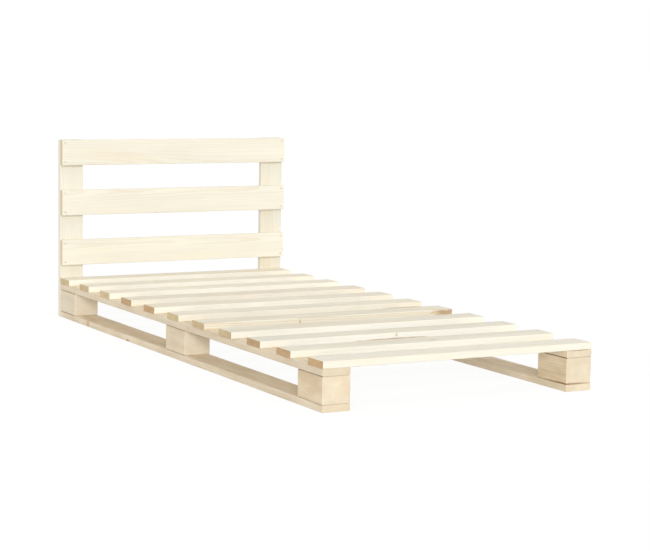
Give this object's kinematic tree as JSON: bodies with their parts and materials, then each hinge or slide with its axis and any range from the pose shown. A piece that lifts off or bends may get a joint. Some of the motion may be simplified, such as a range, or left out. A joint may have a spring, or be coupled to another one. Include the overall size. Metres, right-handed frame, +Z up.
{
  "type": "pallet bed frame",
  "caption": "Low pallet-style single bed frame of pine planks: block-and-board side rails, an open slatted deck for a mattress and a boarded headboard on posts.",
  "frame": {"origin": "on the floor at the middle of the bed's outline", "axes": "+X across the bed to the right of someone standing at the foot, +Y from foot to headboard, +Z up"},
  "size_m": [0.9, 2.041, 0.645],
  "materials": {
    "pine": "untreated, sawn and sanded",
    "screw_steel": "zinc-plated steel"
  },
  "bodies": {
    "root": {"left_runner": "pine", "left_head_block": "pine", "left_middle_block": "pine", "left_foot_block": "pine", "left_stringer": "pine", "left_post": "pine", "right_runner": "pine", "right_head_block": "pine", "right_middle_block": "pine", "right_foot_block": "pine", "right_stringer": "pine", "right_post": "pine", "slat_01": "pine", "slat_02": "pine", "slat_03": "pine", "slat_04": "pine", "slat_05": "pine", "slat_06": "pine", "slat_07": "pine", "slat_08": "pine", "slat_09": "pine", "slat_10": "pine", "slat_11": "pine", "headboard_top_board": "pine", "headboard_middle_board": "pine", "headboard_lower_board": "pine", "slat_screws": "screw_steel", "headboard_screws": "screw_steel", "stringer_screws": "screw_steel", "runner_screws": "screw_steel", "post_screws": "screw_steel"}
  },
  "joints": []
}
